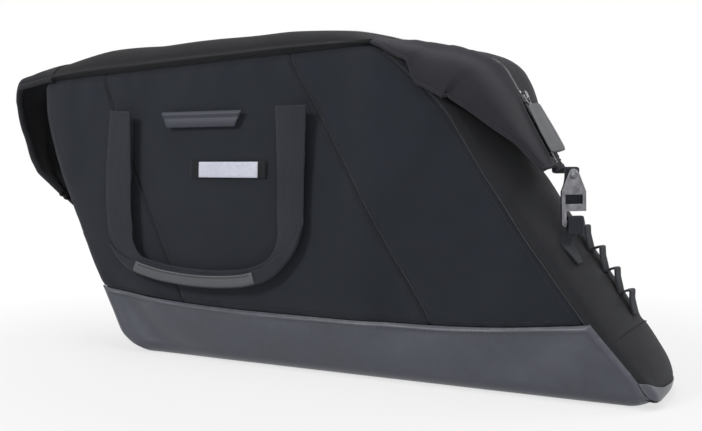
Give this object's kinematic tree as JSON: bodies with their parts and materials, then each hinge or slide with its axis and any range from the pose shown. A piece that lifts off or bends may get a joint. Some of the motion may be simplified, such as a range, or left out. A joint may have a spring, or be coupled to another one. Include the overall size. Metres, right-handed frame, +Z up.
{
  "type": "saddle bag",
  "caption": "Leaning zip-top saddle bag for a cargo bicycle, with folded tails held by side hooks, a webbing carry handle, a coated boot and rack hooks on its back.",
  "frame": {"origin": "middle of the base's flat underside", "axes": "+X along the bag towards the end with the zip slider, -Y out from the bicycle, +Y towards the bicycle, +Z up"},
  "size_m": [0.8303, 0.1991, 0.3737],
  "materials": {
    "cloth": "matte woven",
    "coated_cloth": "satin coated",
    "webbing": "ribbed weave",
    "wrap": "matte",
    "reflective": "pale, beaded",
    "plastic": "moulded",
    "metal": "satin"
  },
  "bodies": {
    "bag": {"front_panel_left": "cloth", "front_panel_middle": "cloth", "front_panel_right": "cloth", "boot_front": "coated_cloth", "boot_back": "coated_cloth", "base_panel": "coated_cloth", "base_board": "plastic", "back_panel": "cloth", "back_board": "plastic", "end_gusset_right": "cloth", "end_gusset_left": "cloth", "zip_tail_right": "cloth", "zip_tail_left": "cloth", "zip_chain_right": "plastic", "zip_chain_left": "plastic", "hook_rivet_right": "metal", "hook_rivet_left": "metal", "hook_loop_right": "webbing", "hook_loop_left": "webbing", "end_tab_right": "webbing", "end_tab_left": "webbing", "daisy_chain_right": "webbing", "daisy_chain_left": "webbing", "handle_anchor_left": "webbing", "handle_anchor_right": "webbing", "light_strip_base": "webbing", "light_strip": "reflective", "mounting_rail": "plastic", "rack_hook_left": "plastic", "rack_hook_right": "plastic", "gate_pin_left": "metal", "gate_pin_right": "metal", "rail_rivet_left_1": "metal", "rail_rivet_left_2": "metal", "rail_rivet_right_1": "metal", "rail_rivet_right_2": "metal", "catch_base": "plastic", "catch_rivet": "metal"},
    "flap_front": {"top_flap_front": "cloth", "zip_teeth_front": "plastic"},
    "flap_back": {"top_flap_back": "cloth", "zip_teeth_back": "plastic"},
    "slider": {"zip_slider": "metal", "slider_bridge": "metal"},
    "pull": {"pull_link": "metal", "zip_pull": "wrap"},
    "handle": {"handle_strap": "webbing", "handle_grip": "wrap"},
    "tab": {"label_tab": "wrap"},
    "hook_right": {"side_hook_right": "metal"},
    "hook_left": {"side_hook_left": "metal"},
    "gate_left": {"hook_gate_left": "plastic"},
    "gate_right": {"hook_gate_right": "plastic"},
    "catch": {"lower_catch": "plastic"}
  },
  "joints": [
    {"name": "front_flap_fold", "type": "hinge", "parent": "bag", "child": "flap_front", "pos_m": [-0.20275, -0.0685, 0.34283], "axis": [0.9991, 0, 0.0433], "range_deg": [0, 110]},
    {"name": "back_flap_fold", "type": "hinge", "parent": "bag", "child": "flap_back", "pos_m": [-0.20275, 0.0685, 0.34283], "axis": [-0.9991, 0, -0.0433], "range_deg": [0, 110]},
    {"name": "zip_slide", "type": "slide", "parent": "bag", "child": "slider", "axis": [-0.5388, 0.2244, 0.812], "range_m": [0, 0.022]},
    {"name": "pull_swing", "type": "hinge", "parent": "slider", "child": "pull", "pos_m": [0.16834, -0.00882, 0.29317], "axis": [-0.1241, -0.9745, 0.1869], "range_deg": [0, 140]},
    {"name": "handle_swing", "type": "hinge", "parent": "bag", "child": "handle", "pos_m": [-0.184, -0.0868, 0.284], "axis": [-1, 0, 0], "range_deg": [0, 160]},
    {"name": "tab_lift", "type": "hinge", "parent": "bag", "child": "tab", "pos_m": [-0.19, -0.0816, 0.2845], "axis": [-1, 0, 0], "range_deg": [0, 75]},
    {"name": "hook_swing_right", "type": "hinge", "parent": "bag", "child": "hook_right", "pos_m": [0.2285, -0.038, 0.2135], "axis": [-0.7597, 0.6499, -0.0217], "range_deg": [0, 75]},
    {"name": "hook_swing_left", "type": "hinge", "parent": "bag", "child": "hook_left", "pos_m": [-0.421, -0.024, 0.15], "axis": [0.8756, 0.0603, 0.4792], "range_deg": [0, 75]},
    {"name": "gate_swing_left", "type": "hinge", "parent": "bag", "child": "gate_left", "pos_m": [-0.295, 0.0818, 0.3035], "axis": [1, 0, 0], "range_deg": [0, 50], "stiffness_Nm_per_rad": 0.02, "springref_deg": -14.32},
    {"name": "gate_swing_right", "type": "hinge", "parent": "bag", "child": "gate_right", "pos_m": [-0.035, 0.0818, 0.3035], "axis": [1, 0, 0], "range_deg": [0, 50], "stiffness_Nm_per_rad": 0.02, "springref_deg": -14.32},
    {"name": "catch_turn", "type": "hinge", "parent": "bag", "child": "catch", "pos_m": [-0.08, 0.0748, 0.13], "axis": [0, 1, 0], "range_deg": [-90, 90]}
  ]
}
